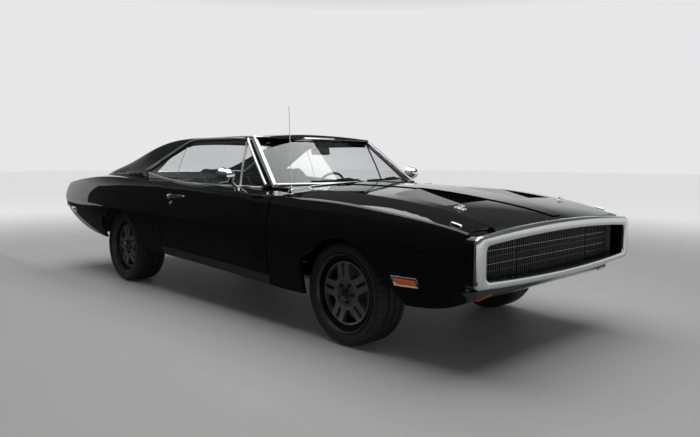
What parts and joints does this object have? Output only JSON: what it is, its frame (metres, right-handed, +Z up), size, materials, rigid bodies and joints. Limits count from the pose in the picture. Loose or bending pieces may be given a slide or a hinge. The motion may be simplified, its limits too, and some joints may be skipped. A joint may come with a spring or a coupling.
{
  "type": "two-door fastback muscle car",
  "caption": "Two-door fastback muscle car with opening doors, hood, trunk and lamp doors, steered front wheels, rolling wheels and a hollow cabin.",
  "frame": {"origin": "on the ground under the middle of the car", "axes": "+X forward to the nose, +Y to the car's left, +Z up"},
  "size_m": [5.2828, 2.12, 1.4891],
  "materials": {
    "paint": "gloss black",
    "chrome": "polished",
    "dark_metal": "satin black",
    "bare_steel": "dull",
    "black_plastic": "matte",
    "upholstery": "satin",
    "window_glass": "clear, slightly green",
    "headlamp_glass": "fluted",
    "red_lens": "gloss",
    "amber_lens": "gloss",
    "tyre_rubber": "matte",
    "wheel_metal": "gunmetal"
  },
  "bodies": {
    "chassis": {"antenna": "chrome", "cowl": "paint", "dashboard": "black_plastic", "engine": "dark_metal", "engine_bay": "dark_metal", "exhaust": "bare_steel", "floor_pan": "dark_metal", "front_bumper": "chrome", "front_fenders": "paint", "front_seats": "upholstery", "front_subframe": "dark_metal", "front_valance": "paint", "fuel_tank": "bare_steel", "grille": "black_plastic", "headlamps": "headlamp_glass", "marker_lamps": "amber_lens", "quarter_glass": "window_glass", "quarter_panels": "paint", "rear_axle": "dark_metal", "rear_bumper": "chrome", "rear_deck": "paint", "rear_seat": "upholstery", "rear_window": "window_glass", "roof": "paint", "tail_lamps": "red_lens", "tail_panel": "paint", "windshield": "window_glass"},
    "door_right": {"door_right": "paint", "door_glass_right": "window_glass", "mirror_right": "chrome"},
    "door_left": {"door_left": "paint", "door_glass_left": "window_glass", "mirror_left": "chrome"},
    "hood": {"hood": "paint"},
    "trunk_lid": {"trunk_lid": "paint"},
    "lamp_door_right": {"lamp_door_right": "black_plastic"},
    "lamp_door_left": {"lamp_door_left": "black_plastic"},
    "steering_wheel": {"steering_wheel": "black_plastic"},
    "knuckle_right": {"knuckle_right": "dark_metal"},
    "knuckle_left": {"knuckle_left": "dark_metal"},
    "road_wheel_front_right": {"wheel_front_right": "wheel_metal", "tyre_front_right": "tyre_rubber"},
    "road_wheel_front_left": {"wheel_front_left": "wheel_metal", "tyre_front_left": "tyre_rubber"},
    "road_wheel_rear_right": {"wheel_rear_right": "wheel_metal", "tyre_rear_right": "tyre_rubber"},
    "road_wheel_rear_left": {"wheel_rear_left": "wheel_metal", "tyre_rear_left": "tyre_rubber"}
  },
  "joints": [
    {"name": "door_right_hinge", "type": "hinge", "parent": "chassis", "child": "door_right", "pos_m": [0.935, -0.921, 0.62], "axis": [0, 0, 1], "range_deg": [0, 65]},
    {"name": "door_left_hinge", "type": "hinge", "parent": "chassis", "child": "door_left", "pos_m": [0.935, 0.921, 0.62], "axis": [0, 0, -1], "range_deg": [0, 65]},
    {"name": "hood_hinge", "type": "hinge", "parent": "chassis", "child": "hood", "pos_m": [1.024, 0, 0.926], "axis": [0, -1, 0], "range_deg": [0, 50]},
    {"name": "trunk_hinge", "type": "hinge", "parent": "chassis", "child": "trunk_lid", "pos_m": [-1.804, 0, 0.964], "axis": [0, 1, 0], "range_deg": [0, 60]},
    {"name": "steer_left", "type": "hinge", "parent": "chassis", "child": "knuckle_left", "pos_m": [1.6315, 0.69, 0.325], "axis": [0, 0, 1], "range_deg": [-30, 30]},
    {"name": "steer_right", "type": "hinge", "parent": "chassis", "child": "knuckle_right", "pos_m": [1.6315, -0.69, 0.325], "axis": [0, 0, 1], "range_deg": [-30, 30]},
    {"name": "steering_wheel_turn", "type": "hinge", "parent": "chassis", "child": "steering_wheel", "pos_m": [0.15, 0.37, 0.85], "axis": [-0.9023, 0, 0.4311], "range_deg": [-450, 450]},
    {"name": "lamp_door_right_pivot", "type": "hinge", "parent": "chassis", "child": "lamp_door_right", "pos_m": [2.529, -0.57, 0.735], "axis": [0, 1, 0], "range_deg": [0, 90]},
    {"name": "lamp_door_left_pivot", "type": "hinge", "parent": "chassis", "child": "lamp_door_left", "pos_m": [2.529, 0.57, 0.735], "axis": [0, 1, 0], "range_deg": [0, 90]},
    {"name": "wheel_front_right_spin", "type": "hinge", "parent": "knuckle_right", "child": "road_wheel_front_right", "pos_m": [1.6315, -0.75, 0.325], "axis": [0, 1, 0], "continuous": true},
    {"name": "wheel_front_left_spin", "type": "hinge", "parent": "knuckle_left", "child": "road_wheel_front_left", "pos_m": [1.6315, 0.75, 0.325], "axis": [0, 1, 0], "continuous": true},
    {"name": "wheel_rear_right_spin", "type": "hinge", "parent": "chassis", "child": "road_wheel_rear_right", "pos_m": [-1.3405, -0.75, 0.325], "axis": [0, 1, 0], "continuous": true},
    {"name": "wheel_rear_left_spin", "type": "hinge", "parent": "chassis", "child": "road_wheel_rear_left", "pos_m": [-1.3405, 0.75, 0.325], "axis": [0, 1, 0], "continuous": true}
  ],
  "couplings": [
    {"joint": "steer_right", "follows": "steer_left", "ratio": 1}
  ]
}
